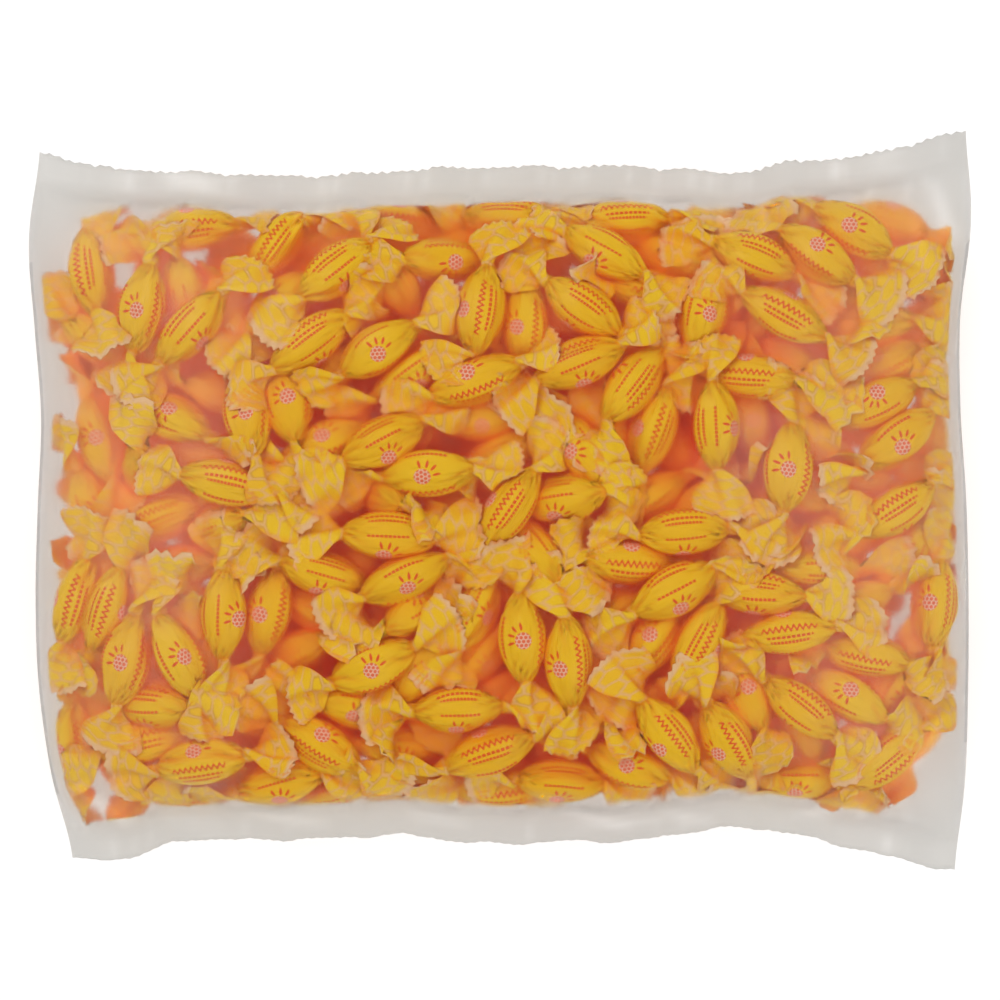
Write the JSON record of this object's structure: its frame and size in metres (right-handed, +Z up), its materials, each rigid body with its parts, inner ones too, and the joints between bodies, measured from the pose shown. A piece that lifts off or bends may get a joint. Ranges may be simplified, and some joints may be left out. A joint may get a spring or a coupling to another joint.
{
  "type": "bag of wrapped honey hard candies",
  "caption": "Clear sealed pillow bag, lying flat, filled with twist-wrapped honey candies, with a crimped zigzag seal at each end.",
  "frame": {"origin": "under the middle of the bag's box, on the surface that it lies on", "axes": "+X along the bag's longer side, +Y from the lower crimped seal to the upper one as shown, +Z up through the bag"},
  "size_m": [0.2936, 0.231, 0.0444],
  "materials": {
    "bag_film": "frosted clear plastic film, satin, over yellow wrappers",
    "candy_wrapper": "satin yellow wrapper film with a small red and pink print",
    "twisted_end": "crumpled, partly clear wrapper film with yellow cells"
  },
  "bodies": {
    "root": {"candy_bag": "bag_film"}
  },
  "joints": []
}
